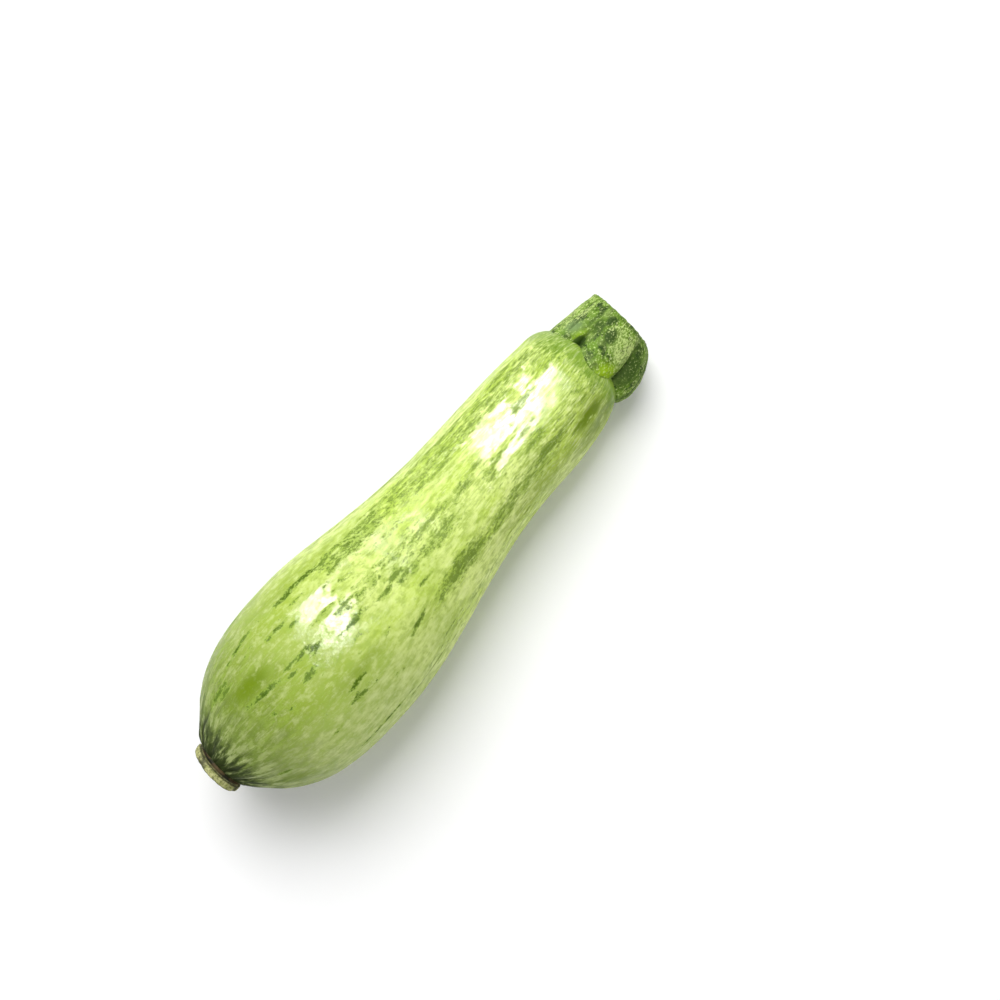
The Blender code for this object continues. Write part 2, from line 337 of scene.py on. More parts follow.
# Patches where the wax is rubbed off: (x, angle, half length, half width, strength)
DULL_PATCHES = (
    (73, -14, 9, 8, 0.95),
    (70, 2, 10, 4, 0.9),
    (57, -17, 9, 1.7, 0.8),
    (67, -22, 5.2, 4.6, 0.85),
    (46.5, -27, 4, 3.6, 0.8),
    (60, -37, 16, 3.2, 0.9),
    (42, -16, 4.5, 9, 0.8),
    (112, -12, 15, 13, 0.95),
    (145, -27, 3.4, 3, 0.9),
    (127, -30, 4, 1.2, 0.6),
    (131, -2, 10, 1.1, 0.95),
    (119, 4, 9, 3, 0.9),
    (158, -30, 6, 5, 0.95),
    (135, -41.5, 26, 4.4, 0.95),
    (150.5, -38.5, 4.6, 2.8, 0.95),
)

# Patches on the stem: (share up its side, angle, half of it up the side, half width, strength)
# Partly the stem's own pale mottling, partly painted highlights on lit facets and along ridge crests
STEM_PALE_AND_HIGHLIGHT_PATCHES = (
    (0.6, 34, 0.3, 4, 1),
    (0.85, 20, 0.12, 2.4, 0.7),
    (0.5, -60, 0.5, 3, 0.6),
    (0.35, -46, 0.5, 0.7, 0.9),
    (0.6, -40, 0.4, 0.6, 0.9),
    (0.5, 96, 0.5, 1.6, 0.9),
    (0.7, 6, 0.16, 0.7, 0.9),
    (0.55, 150, 0.4, 2.4, 0.9),
    (0.45, 235, 0.4, 2, 0.9),
)
# Partly the stem's own dark mottling, partly painted shade in the wide groove and the notch at the
# foot
STEM_DARK_AND_SHADE_PATCHES = (
    (0.62, 10, 0.16, 2, 1),
    (0.8, -2, 0.14, 1.6, 0.8),
    (0.45, 67, 0.6, 2.4, 0.7),
    (0.06, -14, 0.18, 2.2, 1.1),
    (0.55, -8, 0.24, 2.6, 0.6),
    (0.98, 30, 0.06, 12, 0.5),
    (0.5, 112, 0.6, 1.4, 0.6),
    (0.4, 86, 0.6, 0.8, 0.7),
    (0.5, 180, 0.4, 2.4, 0.9),
    (0.5, 265, 0.4, 2.4, 0.9),
)
STEM_LIME_PATCHES = (
    (0.1, 34, 0.18, 3.6, 1),
    (0.22, -22, 0.18, 2, 0.8),
    (0.15, 200, 0.18, 3, 0.8),
)
STEM_SMOOTH_PATCHES = ((0.3, -35, 0.17, 3, 1),)

# On the side away from the camera the marks follow a rule: rows at these angles, with sizes drawn
# from these ranges
HIDDEN_BAND_ANGLES = (102.0, 138.0, 174.0, 210.0, 246.0, 282.0)
HIDDEN_SEED = 11
HIDDEN_MARKS = 9
HIDDEN_MARK_REACH = (16.0, 158.0)
HIDDEN_MARK_SCATTER = 5.0
HIDDEN_MARK_HALF_LENGTH = (2.2, 8.0)
HIDDEN_MARK_HALF_WIDTH = (0.5, 1.8)
HIDDEN_MARK_STRENGTH = (0.6, 1.0)
HIDDEN_MARK_LEAN = 0.06
HIDDEN_BAND_START = (36.0, 70.0)
HIDDEN_BAND_LENGTH = (40.0, 90.0)
HIDDEN_BAND_LAST = 164.0
HIDDEN_BAND_DRIFT = 4.0
HIDDEN_BAND_HALF_WIDTH = (2.0, 3.4)
HIDDEN_BAND_STRENGTH = (0.4, 0.65)

# Noises of the colours: (size across, size along) and, where they aren't the usual ones, detail,
# roughness and distortion
SKIN_DRIFT = (11.0, 26.0, 4.0, 0.6)
SKIN_CLOUDS = (22.0, 22.0, 3.0, 0.55)
SKIN_MOTTLE = (2.0, 3.4, 5.0, 0.62)
NOSE_MOTTLE = (2.6, 7.0, 4.0, 0.65)
SKIN_FIBRES = (0.7, 5.0, 4.0, 0.7)
SKIN_CRUMBS = (0.6, 0.8, 3.0, 0.7)
FLECK_EROSION = (1.3, 2.8, 5.0, 0.7, 0.3)
FLECK_GREYING = (9.0, 9.0)
SKIN_WAX = (1.6, 3.0, 5.0, 0.65)
STEM_MOTTLE = (2.4, 3.4, 6.0, 0.7)
STEM_GLINTS = (0.5, 0.9, 3.0, 0.7)
STEM_CLOUDS = (5.0, 5.0, 4.0, 0.6)
CUT_PITH = (0.8, 0.8, 3.0, 0.6)
CORK_GRAIN = (1.4, 1.4, 4.0, 0.65)
CORK_SPECKS = (0.8, 0.8, 4.0, 0.75)
CORK_STAIN_AND_SHADE = (5.0, 5.0)
CORK_THREADS = (0.5, 3.0)
CORK_PIT_SIZE = 0.9
PAPER_GRAIN = (40.0, 40.0)

# Lengths over the skin from the middle of its flower end: nothing at the first, full at the second
NECK_BLEND = (95.0, 170.0)
OLIVE_REACH = (104.0, 30.0)
DUST_REACH = (110.0, 50.0)
GREY_REACH = (50.0, 12.0)
GLINT_REACH = (40.0, 16.0)
DARK_REACH = (24.0, 11.0)
WAX_REACH = (8.0, 44.0)
FAINT_REACH = (66.0, 125.0)

# The dusty flank is this far towards -Y on the unrolled skin. The borders of the grey, the dark and
# the wax at the flower end are ragged by this much
DUST_ASIDE = (5.0, 17.0)
NOSE_RAGGEDNESS = -40.0

# Sizes that change along the neck: (on the belly, what is added to it at the stem end)
FIBRE_STRENGTH = (0.15, 0.6)
SPECK_STRENGTH = (0.10, 0.28)
FLECK_SCATTER = (0.06, 0.06)
CRUMBLY_EROSION = (1.6, -0.8)
STRINGY_EROSION = (0.4, 1.4)
RELIEF_STRENGTH = (1.0, -0.5)

# How strongly coarse noise erodes the flecks, and how much fainter they are past the belly
COARSE_EROSION = 2.6
FAINT_CHANGE = -0.32

# The cut's darker rim, by the distance from the stem's axis, and where the side turns into the cut
CUT_RIM = (9.5, 11.8)
CUT_EDGE = (1.0, 1.01)

# The cork's parts, by the distance from its axis: nothing at the first, full at the second
CORK_MIDDLE = (4.2, 1.2)
CORK_NECK = (8.4, 7.4)
CORK_EDGE_IN = (8.0, 8.4)
CORK_EDGE_OUT = (8.95, 8.6)

# Full heights of the relief that only changes how the light falls
SKIN_BUMP = 0.12
STEM_BUMP = 0.4
CORK_BUMP = 0.35


def tone(red, green, blue):
    """A colour given as it looks on a screen, from 0 to 255."""
    linear = []
    for level in (red, green, blue):
        share = level / 255
        linear.append(share / 12.92 if share <= 0.04045 else ((share + 0.055) / 1.055) ** 2.4)
    return (*linear, 1.0)


PALE_SKIN = tone(218, 236, 134)
LIME_SKIN = tone(196, 222, 88)
OLIVE_SKIN = tone(156, 182, 74)
FLECK_GREEN = tone(72, 100, 8)
FLECK_GREY = tone(112, 140, 50)
FLECK_SOFT = tone(152, 180, 70)
LUSH_AND_SHADE_GREEN = tone(108, 134, 0)
NOSE_OLIVE = tone(120, 142, 34)
NOSE_GREY = tone(100, 118, 56)
# The dark round the flower scar, also used as painted shade in its creases
NOSE_DARK = tone(34, 46, 12)
DUSTY_GREEN = tone(206, 222, 138)
LINE_GREEN = tone(136, 168, 60)
# Pale for the skin's specks, fibres and mottle, and for the painted glints by the flower end
SPECK_AND_GLINT_PALE = tone(236, 246, 178)
SHOULDER_GREEN = tone(96, 136, 20)

STEM_GREEN = tone(108, 146, 38)
STEM_DEEP = tone(46, 72, 14)
STEM_PALE = tone(216, 236, 146)
STEM_GREY = tone(124, 152, 68)
STEM_SMOOTH = tone(124, 152, 92)
STEM_LIME = tone(150, 188, 10)
CUT_CREAM = tone(206, 214, 150)
CUT_GREEN = tone(128, 158, 80)

CORK_TAN = tone(182, 182, 120)
CORK_GREEN = tone(142, 148, 80)
CORK_PALE = tone(196, 196, 146)
CORK_BROWN = tone(120, 98, 60)
CORK_DARK = tone(50, 50, 24)

PAPER_WHITE = tone(252, 252, 253)
PAPER_BRIGHT = tone(254, 254, 254)

# The camera looks almost straight down. Its lens and sensor are in millimetres
CAMERA_PLACE = Vector((12.39, -19.14, 521.16)) * MM
CAMERA_AZIMUTH = math.radians(-48.563)
CAMERA_ELEVATION = math.radians(88.0)
CAMERA_LENS = 57.0
CAMERA_SENSOR = 36.0
CAMERA_CLIP = (0.01, 10.0)

# Two softboxes: a broad one that lights the skin, and a narrower one that only shows in its
# gloss. Their places and the size of the floor are in metres
KEY_TOWARDS = Vector((0.32, 0.46, 0.83))
KEY_DISTANCE = 3.0
KEY_SIZE = (2.0, 2.0)
KEY_POWER = 82.0
GLOSS_TOWARDS = Vector((0.262, 0.478, 0.838))
GLOSS_DISTANCE = 4.0
GLOSS_SIZE = (0.78, 4.24)
GLOSS_POWER = 700.0
GLOSS_ROLL = math.radians(-6.2)
SKY_STRENGTH = 0.48
FLOOR_SIZE = 4.0


# Shape

def spline(knots, values, at):
    """The natural cubic spline through values at knots, read at other places."""
    knots, values, at = np.array(knots), np.array(values), np.array(at, float)
    gaps = np.diff(knots)
    slopes = (np.diff(values, axis=0).T / gaps).T
    system = np.eye(len(knots))
    bends = np.zeros_like(values)
    for i in range(1, len(knots) - 1):
        system[i, i - 1 : i + 2] = gaps[i - 1], 2 * (gaps[i - 1] + gaps[i]), gaps[i]
        bends[i] = 6 * (slopes[i] - slopes[i - 1])
    bends = np.linalg.solve(system, bends)
    i = np.clip(np.searchsorted(knots, at) - 1, 0, len(gaps) - 1)
    shape = at.shape + (1,) * (values.ndim - 1)
    gap = gaps[i].reshape(shape)
    ahead = ((knots[i + 1] - at) / gaps[i]).reshape(shape)
    behind = 1 - ahead
    curve = (ahead**3 - ahead) * bends[i] + (behind**3 - behind) * bends[i + 1]
    return ahead * values[i] + behind * values[i + 1] + curve * gap**2 / 6


def arc_lengths(outline):
    """How far along the outline each of its points lies."""
    steps = np.linalg.norm(np.diff(outline, axis=0), axis=1)
    return np.concatenate([[0.0], np.cumsum(steps)])


def smooth_outline(points, count, crowding=0.0):
    """Points along the smooth curve through the given ones, drawn towards its ends by crowding."""
    points = np.array(points)
    lengths = arc_lengths(points)
    share = np.linspace(0.0, 1.0, count)
    share = share - crowding * np.sin(2 * np.pi * share) / (2 * np.pi)
    return spline(lengths, points, share * lengths[-1])


def fade(value, start, end):
    """0 before start, 1 past end and a smooth rise between them."""
    share = np.clip((value - start) / (end - start), 0.0, 1.0)
    return share * share * (3 - 2 * share)


def hump(value, rise, fall):
    """0 before the rise, 1 between the rise and the fall, and 0 again past the fall."""
    return fade(value, *rise) * (1 - fade(value, *fall))


def profile(stations, x):
    """The size at x, in straight lines between the (x, size) stations."""
    places, sizes = zip(*stations)
    return np.interp(x, places, sizes)


def bow(x):
    """How far the axis stands sideways at x."""
    places, offsets = zip(*FRUIT_BOW)
    return spline(places, offsets, x)


def around_axis(x, r, angle, shift=0.0, lean=0.0):
    """The points at distance r and this angle from the bowed axis, in millimetres, laid down."""
    x, r, angle = np.broadcast_arrays(np.asarray(x, float), r, angle)
    heading = np.arctan2(bow(x + HEADING_STEP) - bow(x - HEADING_STEP), 2 * HEADING_STEP)
    out = r * np.sin(angle)
    up = r * np.cos(angle)
    along = x - lean * up + out * np.sin(heading)
    across = bow(x) + shift - out * np.cos(heading)
    turned = np.stack([
        along * math.cos(AXIS_DROOP) + up * math.sin(AXIS_DROOP),
        across,
        up * math.cos(AXIS_DROOP) - along * math.sin(AXIS_DROOP),
    ], axis=-1)
    return turned + AXIS_START


def turn(sides):
    """The angles of the sides, once round."""
    return 2 * np.pi * np.arange(sides) / sides


def off_angle(angle, degrees):
    """The signed angle from this many degrees, in radians."""
    return (angle - np.radians(degrees) + np.pi) % (2 * np.pi) - np.pi


def unrolled(radius, angle, along):
    """Coordinates for a skin's pattern, which run straight along the piece at any radius."""
    along, angle = np.broadcast_arrays(along, angle)
    return np.stack([radius * np.sin(angle), radius * np.cos(angle), along], axis=-1)


def bumps(points, size, length_share, seed):
    """Smooth seeded bumps, mostly between -1 and 1."""
    rng = np.random.default_rng(seed)
    points = points * (1.0, 1.0, length_share)
    total = np.zeros(points.shape[:-1])
    for _ in range(BUMP_WAVES):
        direction = rng.normal(size=3)
        direction *= 2 * np.pi / (np.linalg.norm(direction) * size * rng.uniform(*BUMP_SPREAD))
        total += np.sin(points @ direction + rng.uniform(0, 2 * np.pi))
    return total / math.sqrt(2 * BUMP_WAVES)


def pressing(points, pattern):
    """The same bumps, mostly between 0 and 1, for relief that is only pressed inwards."""
    return 0.5 + 0.5 * bumps(points, *pattern)


# Marks

def marks(x, angle, r, mark_list):
    """How strongly any of the marks or patches shows there, on a skin with this radius.

    One that is given no lean has none.
    """
    cover = np.zeros(np.broadcast(x, angle, r).shape)
    for mark in mark_list:
        place, degrees, half_length, half_width, strength, lean = (*mark, 0.0)[:6]
        along = (x - place) / half_length
        across = (r * off_angle(angle, degrees) - lean * (x - place)) / half_width
        blots = strength * np.exp(-(along**2 + across**2) ** (MARK_STEEPNESS / 2))
        cover = np.maximum(cover, blots)
    return cover


def bands(x, angle, r, band_list):
    """How strongly any of the bands shows on the fruit there."""
    cover = np.zeros(np.broadcast(x, angle, r).shape)
    for first, last, start, end, half_width, strength in band_list:
        share = np.clip((x - first) / (last - first), 0.0, 1.0)
        across = r * off_angle(angle, start + (end - start) * share) / half_width
        along = hump(x, np.add(first, BAND_BEGINS), np.add(last, BAND_ENDS))
        cover = np.maximum(cover, strength * along * np.exp(-across**BAND_STEEPNESS))
    return cover


def hidden_marks():
    """Seeded marks in rows along the side away from the camera."""
    rng = np.random.default_rng(HIDDEN_SEED)
    return [
        (
            rng.uniform(*HIDDEN_MARK_REACH),
            degrees + rng.normal(0.0, HIDDEN_MARK_SCATTER),
            rng.uniform(*HIDDEN_MARK_HALF_LENGTH),
            rng.uniform(*HIDDEN_MARK_HALF_WIDTH),
            rng.uniform(*HIDDEN_MARK_STRENGTH),
            rng.normal(0.0, HIDDEN_MARK_LEAN),
        )
        for degrees in HIDDEN_BAND_ANGLES
        for _ in range(HIDDEN_MARKS)
    ]


def hidden_bands():
    """A seeded band under each of those rows."""
    rng = np.random.default_rng(HIDDEN_SEED + 1)
    found = []
    for degrees in HIDDEN_BAND_ANGLES:
        first = rng.uniform(*HIDDEN_BAND_START)
        last = first + rng.uniform(*HIDDEN_BAND_LENGTH)
        found.append((
            first,
            min(last, HIDDEN_BAND_LAST),
            degrees,
            degrees + rng.normal(0.0, HIDDEN_BAND_DRIFT),
            rng.uniform(*HIDDEN_BAND_HALF_WIDTH),
            rng.uniform(*HIDDEN_BAND_STRENGTH),
        ))
    return found


# Meshes

def all_round(values, sides):
    """The same value for every side of a ring."""
    return np.repeat(values, sides, axis=1)


def single_ends(grid):
    """The rings' values in one row, with a single one for the first ring and for the last."""
    return np.concatenate([grid[0, :1], grid[1:-1].reshape(-1, *grid.shape[2:]), grid[-1, :1]])


def ring_faces(count, sides):
    """The faces between the rings, each as the (side, ring) that its corners stand on."""
    faces = []
    for ring in range(count - 1):
        for k in range(sides):
            if ring == 0:
                faces.append([(k + 0.5, 0), (k, 1), (k + 1, 1)])
            elif ring == count - 2:
                faces.append([(k, ring), (k + 0.5, ring + 1), (k + 1, ring)])
            else:
                faces.append([(k, ring), (k, ring + 1), (k + 1, ring + 1), (k + 1, ring)])
    return faces


def point_number(side, ring, count, sides):
    """Which point of the mesh stands there."""
    if ring == 0:
        return 0
    if ring == count - 1:
        return 1 + (count - 2) * sides
    return 1 + (ring - 1) * sides + side % sides


def store(mesh, key, values):
    """Keeps a number or a vector for each point of the mesh, for its material to read."""
    if values.ndim == 2:
        layer = mesh.attributes.new(key, "FLOAT_VECTOR", "POINT")
        layer.data.foreach_set("vector", values.ravel())
    else:
        layer = mesh.attributes.new(key, "FLOAT", "POINT")
        layer.data.foreach_set("value", values.ravel())


def lofted(name, rings, lengths, attributes, material):
    """A closed piece through a grid of rings whose first and last ones are single points.

    The rings may run either way along the fruit: the faces are turned to point outwards.
    """
    count, sides = rings.shape[:2]
    faces = ring_faces(count, sides)
    numbers = [[point_number(*corner, count, sides) for corner in face] for face in faces]
    mesh = bpy.data.meshes.new(name)
    mesh.from_pydata(single_ends(rings) * MM, [], numbers)
    shares = lengths / lengths[-1]
    unwrapped = [(side / sides, shares[ring]) for face in faces for side, ring in face]
    mesh.uv_layers.new(name="OFBake").data.foreach_set("uv", np.array(unwrapped).ravel())
    for key, values in attributes.items():
        store(mesh, key, single_ends(values))
    mesh.materials.append(material)
    mesh.validate()
    runs_forward = rings[-1, 0, 0] > rings[0, 0, 0]
    if runs_forward:
        mesh.flip_normals()
    mesh.shade_smooth()
    piece = bpy.data.objects.new(name, mesh)
    bpy.context.scene.collection.objects.link(piece)
    return piece


# Fruit

def neck_relief(x, angle):
    """How far the top of the neck stands out there, or in."""
    knots, heights = zip(*NECK_TOP)
    height = spline(knots, heights, np.clip(x, knots[0], knots[-1]))
    full, gone = NECK_TOP_REACH
    return height * fade(np.cos(angle), math.cos(gone), math.cos(full))


def skin_relief(x, angle):
    """How far the skin stands out from the smooth outline there."""
    from_rib = angle - math.radians(RIB_ANGLE)
    ribs = profile(FIVE_LOBES, x) * np.cos(FOLD_COUNT * from_rib)
    ribs = ribs + profile(TEN_RIBS, x) * np.cos(2 * FOLD_COUNT * from_rib)
    for waves, length, phase, height in UNEVENNESS:
        ribs = ribs + height * np.sin(waves * angle + 2 * math.pi * x / length + phase)
    start, end = UNDERSIDE_FADE
    ribs = ribs * (1 - fade(-np.cos(angle), -math.cos(start), -math.cos(end)))
    puckers = PUCKER_HEIGHT * np.cos(PUCKER_COUNT * angle) * hump(x, PUCKER_RISE, PUCKER_FALL)
    return ribs * hump(x, NOSE_FADE, SHOULDER_FADE) + puckers


def nose_creases(x, angle, straight):
    """How deep the skin is creased there, radially from the flower scar, from 0 to about 1."""
    wander = CREASE_WANDER * bumps(straight, *CREASE_WANDER_BUMPS)
    broad = (1 - np.abs(np.cos(PUCKER_COUNT * (angle + wander) / 2))) ** 2
    strayed = angle - NARROW_CREASE_STRAY * wander
    narrow = (1 - np.abs(np.cos(PUCKER_COUNT * strayed + NARROW_CREASE_PHASE))) ** 2
    round_nose = unrolled(FRUIT_ROLL, angle, np.zeros_like(x))
    end = CREASE_END + CREASE_END_VARIES * bumps(round_nose, *CREASE_END_BUMPS)
    near = hump(x, CREASE_RISE, (CREASE_FALL_START, end))
    close = near * (1 - fade(x, *NARROW_CREASE_FALL))
    return near * broad + NARROW_CREASE_SHARE * close * narrow


def fine_relief(x, straight, creases):
    """Creases round the flower scar, growth lumps and fine grain, all pressed inwards."""
    near = hump(x, WRINKLE_RISE, WRINKLE_FALL)
    pressed = CREASE_DEPTH * creases + WRINKLE_DEPTH * near * pressing(straight, WRINKLE_BUMPS)
    lumps = LUMP_DEPTH * pressing(straight, LUMP_BUMPS)
    grain = GRAIN_DEPTH * pressing(straight, GRAIN_BUMPS)
    return -pressed - fade(x, *GRAIN_RISE) * (lumps + grain)


def make_fruit(material):
    """The fruit from the seat of the flower scar to the dish under the stem."""
    outline = smooth_outline(FRUIT_OUTLINE, FRUIT_RINGS, RING_CROWDING)
    lengths = arc_lengths(outline)
    x, r, along = outline[:, :1], outline[:, 1:], lengths[:, None]
    angle = turn(FRUIT_SIDES)[None, :]
    straight = unrolled(FRUIT_ROLL, angle, along)
    creases = nose_creases(x, angle, straight)
    relief = skin_relief(x, angle) + neck_relief(x, angle) + fine_relief(x, straight, creases)
    radius = r + relief
    radius[[0, -1]] = 0.0
    lean = NOSE_LEAN * (1 - fade(x, *NOSE_LEAN_REACH))
    rings = around_axis(x, radius, angle, lean=lean)
    rings[..., 2] = np.maximum(rings[..., 2], 0.0)
    drifted = angle + MARK_DRIFT * bumps(straight, *MARK_DRIFT_BUMPS)
    attributes = {
        "straight": straight,
        "flecks": np.maximum(
            marks(x, drifted, r, (*FLECKS, *hidden_marks())),
            bands(x, drifted, r, (*BANDS, *hidden_bands())),
        ),
        "lush": marks(x, drifted, r, LUSH_AND_SHADE_PATCHES),
        "dull": marks(x, drifted, r, DULL_PATCHES),
        "shoulder": all_round(fade(x, *SHOULDER_TINT), FRUIT_SIDES),
        "creases": creases,
    }
    return lofted("skin_of_fruit", rings, lengths, attributes, material)


# Stem

def fold_sizes(angle):
    """The stem's radius at the foot, at the fullest and at the cut, and the crease's share there."""
    first = STEM_FOLDS[0][0]
    place = ((np.degrees(angle) - first) % 360.0) / (360.0 / FOLD_COUNT)
    before = place.astype(int) % FOLD_COUNT
    share = place - place.astype(int)
    mix = fade(share, 0.0, 1.0)
    sizes = np.array([fold[1:] for fold in STEM_FOLDS])
    here, ahead = sizes[before], sizes[(before + 1) % FOLD_COUNT]
    creases = np.array(STEM_CREASES)[before]
    depths = creases[..., 1:] * ((1 - np.abs(2 * share - 1)) ** creases[..., 0])[..., None]
    blended = here + (ahead - here) * mix[..., None]
    blended = blended * (1 - depths)
    return blended[..., 0], blended[..., 1], blended[..., 2], depths


def shoulder_height(r):
    """x of the fruit's stem-end surface at this distance from its axis."""
    outline = smooth_outline(FRUIT_OUTLINE, SHOULDER_POINTS)
    shoulder = outline[outline[:, 0] > SHOULDER_FADE[0]][::-1]
    return np.interp(r, shoulder[:, 1], shoulder[:, 0])


def cut_height(r, angle):
    """x of the slanting cut across the stem."""
    return STEM_CUT - r * np.cos(angle) * math.tan(STEM_CUT_TILT)


def stem_rings(angle):
    """The stem's smooth rings: their x, their r and the share up the stem's side.

    The share is 0 below the foot, runs from 0 to 1 up the side, and from 1 to 2 over the cut.
    """
    foot, fullest, cut, _ = fold_sizes(angle)
    below = np.linspace(0.0, 1.0, STEM_FOOT_RINGS + 1)[:-1, None]
    up = np.linspace(0.0, 1.0, STEM_SIDE_RINGS)[:, None]
    across = np.linspace(1.0, 0.0, STEM_CUT_RINGS)[:, None]
    start = shoulder_height(foot) - STEM_SINK
    end = cut_height(cut, angle) - STEM_CUT_ROUNDING
    halfway = cut + (foot - cut) * 0.5**TOE_SPREAD
    narrowed = cut + (foot - cut) * (1 - up) ** TOE_SPREAD
    swell = (fullest - halfway) * (4 * up * (1 - up)) ** SWELL_ROUNDNESS
    reach = (cut - STEM_CUT_ROUNDING) * across
    x = np.concatenate([
        shoulder_height(foot * below) - STEM_SINK,
        start + (end - start) * up,
        cut_height(reach, angle) - STEM_CUT_HOLLOW * (1 - across**4),
    ])
    r = np.concatenate([foot * below, narrowed + swell, reach])
    side = np.concatenate([np.zeros_like(below), up, 2 - across])
    return x, r, all_round(side, STEM_SIDES)


def crease_depth(angle, side):
    """How deep the stem is creased there, from 0 to about 1 for a full crease."""
    depths = fold_sizes(angle)[-1]
    at_foot, at_cut = depths[:, 0], depths[:, 2]
    return (at_foot + (at_cut - at_foot) * np.clip(side, 0.0, 1.0)) / FULL_CREASE


def stem_relief(straight, side, ridges, crease):
    """How far the stem's skin stands out from its smooth rings."""
    relief = RIDGE_HEIGHT * (ridges - RIDGE_SINK)
    relief = relief + STEM_BUMP_HEIGHT * bumps(straight, *STEM_BUMPS)
    relief = relief + PIMPLE_HEIGHT * bumps(straight, *PIMPLE_BUMPS)
    relief = relief - STEM_CREASE_DEPTH * crease**4
    return relief * hump(side, STEM_RELIEF_RISE, STEM_RELIEF_FALL)


def make_stem(material):
    """The stem from below the fruit's surface, up its folded side and over the cut."""
    angle = turn(STEM_SIDES)
    x, r, side = stem_rings(angle)
    lengths = arc_lengths(np.stack([x[:, 0], r[:, 0]], axis=-1))
    straight = unrolled(STEM_ROLL, angle, x)
    ridges = bumps(straight, *RIDGE_BUMPS)
    crease = crease_depth(angle, side)
    r = np.maximum(r + stem_relief(straight, side, ridges, crease), 0.0)
    r[[0, -1]] = 0.0
    pith = bumps(around_axis(x, r, angle), *PITH_BUMPS)
    x = x - PITH_DEPTH * fade(side, *PITH_RISE) * (1 + pith)
    attributes = {
        "straight": straight,
        "crease": crease,
        "ridge": 0.5 + 0.5 * ridges,
        "side": side,
        # Pale patches, some of them painted highlights
        "pale": marks(side, angle, STEM_ROLL, STEM_PALE_AND_HIGHLIGHT_PATCHES),
        # Dark patches, some of them painted shade
        "dark": marks(side, angle, STEM_ROLL, STEM_DARK_AND_SHADE_PATCHES),
        "lime": marks(side, angle, STEM_ROLL, STEM_LIME_PATCHES),
        "smooth": marks(side, angle, STEM_ROLL, STEM_SMOOTH_PATCHES),
        "radius": r,
    }
    return lofted("skin_of_stem", around_axis(x, r, angle), lengths, attributes, material)


# Flower scar

def make_scar(material):
    """The corky disc and its neck, from inside the fruit to the middle of the disc's face."""
    outline = smooth_outline(SCAR_OUTLINE, SCAR_RINGS)
    lengths = arc_lengths(outline)
    x, r, along = outline[:, :1], outline[:, 1:], lengths[:, None]
    angle = turn(SCAR_SIDES)[None, :]
    waved = sum(size * np.sin(waves * angle + phase) for waves, phase, size in SCAR_WAVES)
    radius = r * (1 + waved * (r / SCAR_RADIUS) ** 2)
    straight = unrolled(SCAR_ROLL, angle, along)
    ragged = bumps(straight, *RAGGED_BUMPS)
    radius = radius - RAGGED_DEPTH * fade(r, *RAGGED_RISE) * (1 + ragged)
    radius[[0, -1]] = 0.0
    face = fade(-x, *SCAR_FACE)
    spokes = bumps(unrolled(SPOKE_ROLL, angle, SPOKE_RUN * r), *SPOKE_BUMPS)
    depth = x + face * (FACE_SINK + SPOKE_DEPTH * spokes)
    attributes = {
        "straight": straight,
        "radius": radius,
        "face": all_round(face, SCAR_SIDES),
    }
    rings = around_axis(depth, radius, angle, SCAR_SHIFT, profile(SCAR_LEAN, x))
    return lofted("cork_of_scar", rings, lengths, attributes, material)


# Materials

